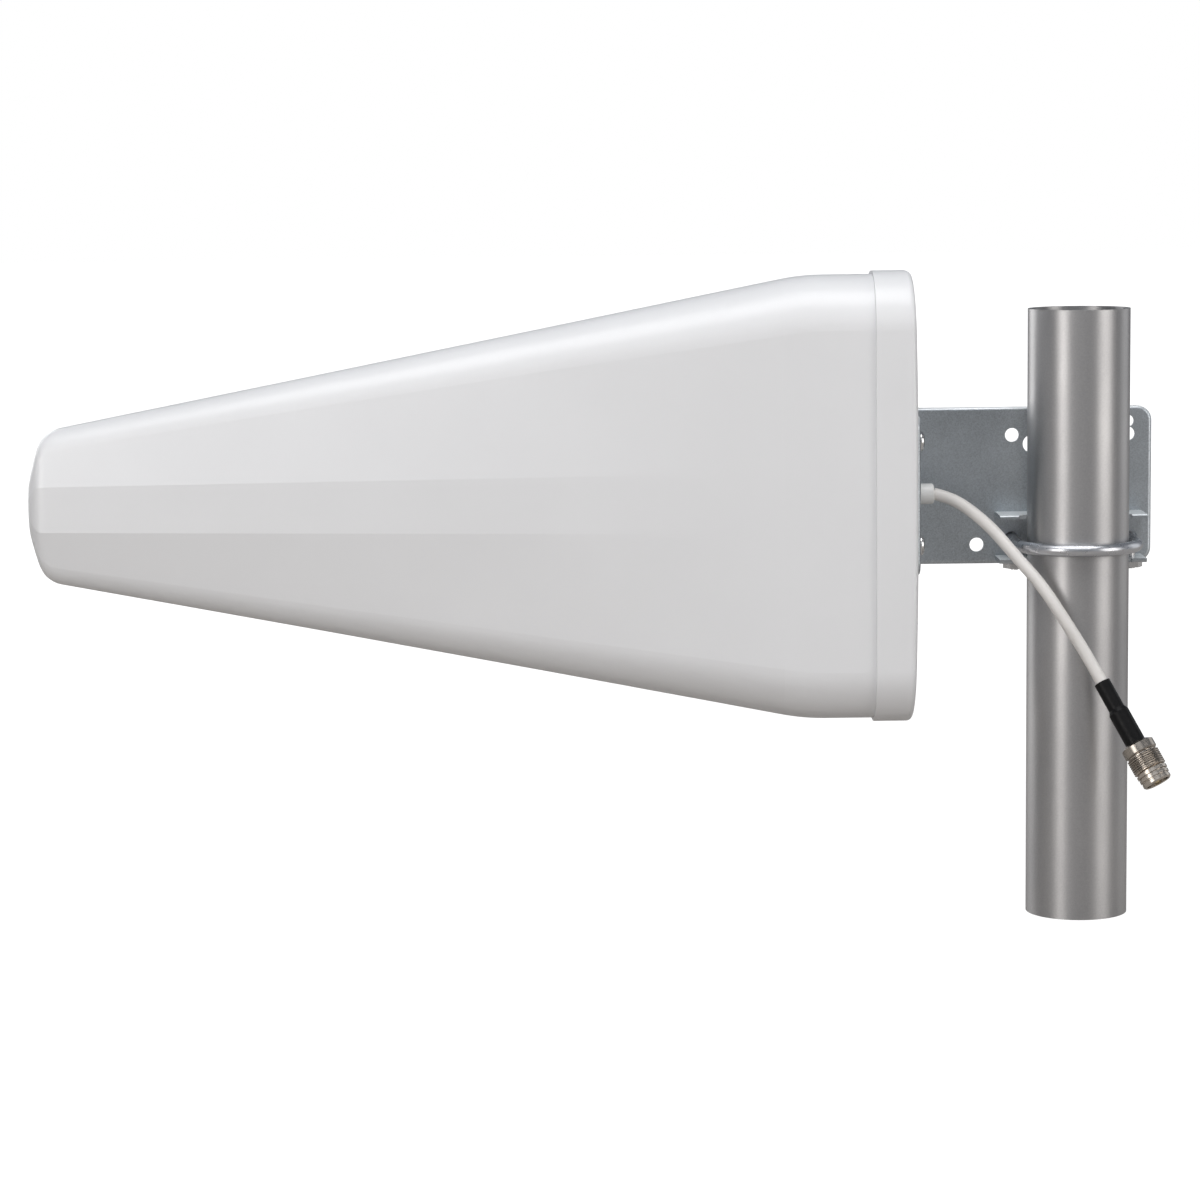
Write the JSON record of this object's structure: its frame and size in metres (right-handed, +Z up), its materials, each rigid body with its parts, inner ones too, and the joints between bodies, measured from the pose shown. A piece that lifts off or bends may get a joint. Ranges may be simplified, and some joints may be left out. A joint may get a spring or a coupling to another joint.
{
  "type": "directional antenna",
  "caption": "Tapered white radome antenna on a bent zinc bracket, clamped to a mast stub by a U-bolt and toothed saddle, with a short coaxial pigtail and connector.",
  "frame": {"origin": "centre of the mast stub's foot, on the mast's axis", "axes": "+Z up along the mast, -X towards the antenna's nose, +Y towards the bracket plate behind the mast"},
  "size_m": [0.5557, 0.1142, 0.3194],
  "materials": {
    "mast_steel": "brushed galvanised tube",
    "radome_plastic": "moulded, gloss white",
    "gasket_rubber": "soft, matt",
    "gland_plastic": "moulded, white",
    "stainless": "bright stainless",
    "sheet_zinc": "zinc plated, fine speckle",
    "bolt_zinc": "bright zinc plated",
    "bare_aluminium": "mill finish",
    "spacer_plastic": "natural, matt",
    "cable_jacket": "white, soft sheen",
    "shrink_sleeve": "black, soft sheen",
    "nickel": "nickel plated brass",
    "socket_insulator": "white, waxy",
    "gold_contact": "gold plated"
  },
  "bodies": {
    "root": {"mast_tube": "mast_steel", "radome": "radome_plastic", "rear_cap": "radome_plastic", "cap_gasket": "gasket_rubber", "cable_gland": "gland_plastic", "gland_nut": "gland_plastic", "bracket_screws": "stainless", "bracket_nuts": "stainless", "set_screws": "stainless", "set_screw_nuts": "stainless", "mounting_bracket": "sheet_zinc", "saddle": "sheet_zinc", "u_bolt": "bolt_zinc", "u_bolt_washers": "bolt_zinc", "u_bolt_lock_washers": "bolt_zinc", "u_bolt_nuts": "bolt_zinc", "inner_plate": "bare_aluminium", "boom_near": "bare_aluminium", "boom_far": "bare_aluminium", "shorting_block": "bare_aluminium", "feed_link": "bare_aluminium", "dipole_01": "bare_aluminium", "dipole_02": "bare_aluminium", "dipole_03": "bare_aluminium", "dipole_04": "bare_aluminium", "dipole_05": "bare_aluminium", "dipole_06": "bare_aluminium", "dipole_07": "bare_aluminium", "dipole_08": "bare_aluminium", "dipole_09": "bare_aluminium", "dipole_10": "bare_aluminium", "dipole_11": "bare_aluminium", "front_spacer": "spacer_plastic", "middle_spacer": "spacer_plastic", "feed_line": "cable_jacket", "pigtail_cable": "cable_jacket", "heat_shrink": "shrink_sleeve", "crimp_ferrule": "nickel", "connector_clamp_nut": "nickel", "connector_body": "nickel", "connector_insulator": "socket_insulator", "connector_contact": "gold_contact"}
  },
  "joints": []
}
